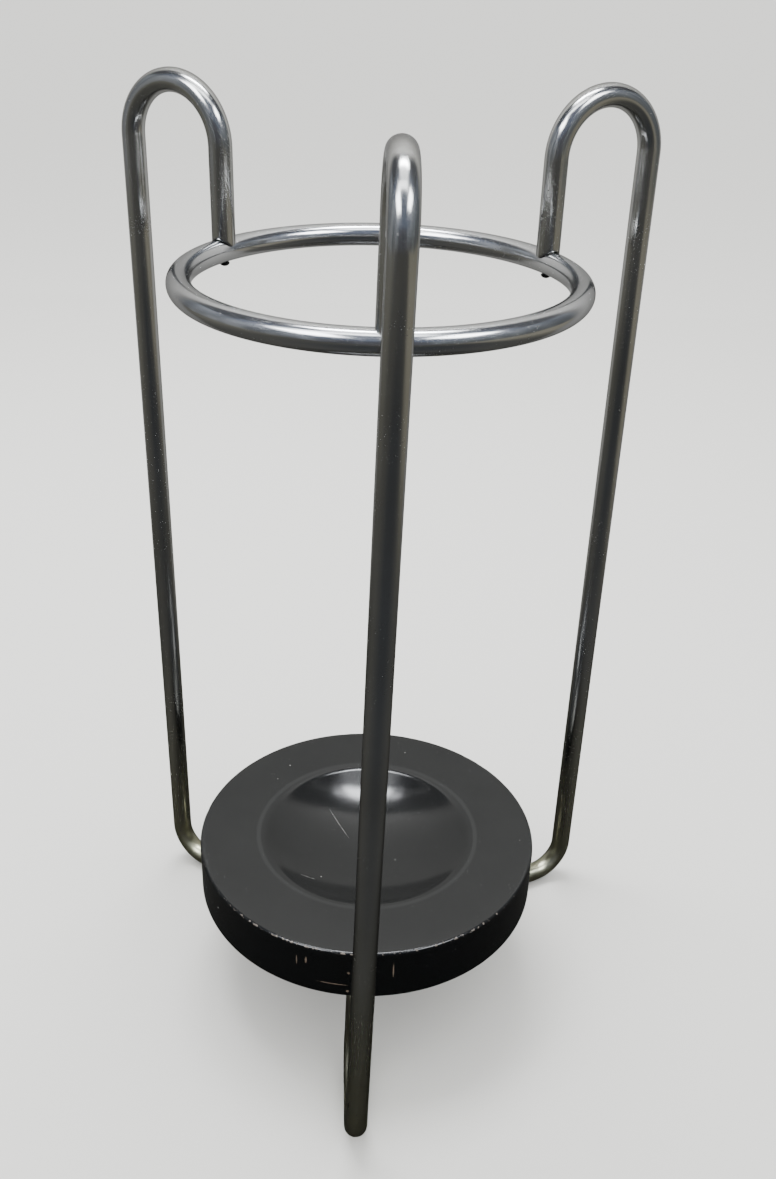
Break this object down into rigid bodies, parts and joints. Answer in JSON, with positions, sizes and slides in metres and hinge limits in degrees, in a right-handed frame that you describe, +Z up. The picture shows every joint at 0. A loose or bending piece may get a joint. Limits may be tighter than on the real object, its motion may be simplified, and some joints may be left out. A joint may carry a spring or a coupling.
{
  "type": "bag holder stand",
  "caption": "Free-standing holder of bent chromed tube: looped legs carry a tube ring on top and a thick black dished disc low down.",
  "frame": {"origin": "on the floor, at the middle of the footprint's bounding box; the ring's and disc's axis is 38 mm behind it", "axes": "+Z up along the ring's axis, -Y towards the front leg, +X to the right"},
  "size_m": [0.3684, 0.3468, 0.689],
  "materials": {
    "chrome": "polished chrome plate, lightly pitted and worn",
    "black_lacquer": "semi-gloss black lacquer, worn at the rim",
    "dark_screw": "blackened steel",
    "plain_steel": "plain turned steel"
  },
  "bodies": {
    "root": {"base_disc": "black_lacquer", "top_ring": "chrome", "leg_tube_front": "chrome", "top_plug_front": "plain_steel", "ring_screw_front": "dark_screw", "bottom_plug_front": "plain_steel", "disc_pin_front": "plain_steel", "leg_tube_left": "chrome", "top_plug_left": "plain_steel", "ring_screw_left": "dark_screw", "bottom_plug_left": "plain_steel", "disc_pin_left": "plain_steel", "leg_tube_right": "chrome", "top_plug_right": "plain_steel", "ring_screw_right": "dark_screw", "bottom_plug_right": "plain_steel", "disc_pin_right": "plain_steel"}
  },
  "joints": []
}
